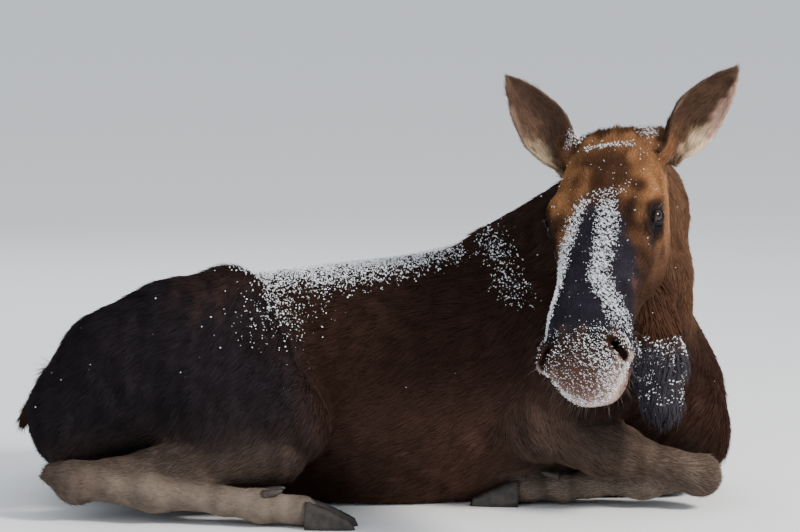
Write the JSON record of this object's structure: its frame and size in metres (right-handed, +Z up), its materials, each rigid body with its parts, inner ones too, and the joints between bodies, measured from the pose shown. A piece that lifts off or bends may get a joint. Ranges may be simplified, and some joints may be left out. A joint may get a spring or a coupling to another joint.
{
  "type": "resting moose model",
  "caption": "Life-size model of a cow moose resting on her folded legs with her head turned to her right, in a dark shaggy winter coat dusted with snow.",
  "frame": {"origin": "the middle of the belly's flat on the floor, under the middle of the trunk", "axes": "+X towards the moose's breast, +Y to her left, +Z up; the floor is z = 0"},
  "size_m": [1.5955, 1.263, 0.9709],
  "materials": {
    "body_coat": "matte",
    "face_coat": "matte",
    "leg_coat": "matte",
    "ear_coat": "matte",
    "hoof": "satin",
    "eye": "glossy"
  },
  "bodies": {
    "root": {"bell": "body_coat", "ear_left": "ear_coat", "ear_right": "ear_coat", "eye_left": "eye", "eye_right": "eye", "fore_cannon_left": "leg_coat", "fore_cannon_right": "leg_coat", "fore_dewclaw_left_inner": "hoof", "fore_dewclaw_left_outer": "hoof", "fore_dewclaw_right_inner": "hoof", "fore_dewclaw_right_outer": "hoof", "fore_hoof_left_inner": "hoof", "fore_hoof_left_outer": "hoof", "fore_hoof_right_inner": "hoof", "fore_hoof_right_outer": "hoof", "forearm_left": "body_coat", "forearm_right": "body_coat", "head": "face_coat", "hind_cannon_left": "leg_coat", "hind_cannon_right": "leg_coat", "hind_dewclaw_left_inner": "hoof", "hind_dewclaw_left_outer": "hoof", "hind_dewclaw_right_inner": "hoof", "hind_dewclaw_right_outer": "hoof", "hind_hoof_left_inner": "hoof", "hind_hoof_left_outer": "hoof", "hind_hoof_right_inner": "hoof", "hind_hoof_right_outer": "hoof", "hind_shank_left": "body_coat", "hind_shank_right": "body_coat", "lower_jaw": "body_coat", "neck": "body_coat", "shoulder_left": "body_coat", "shoulder_right": "body_coat", "tail": "body_coat", "thigh_left": "body_coat", "thigh_right": "body_coat", "trunk": "body_coat"}
  },
  "joints": []
}
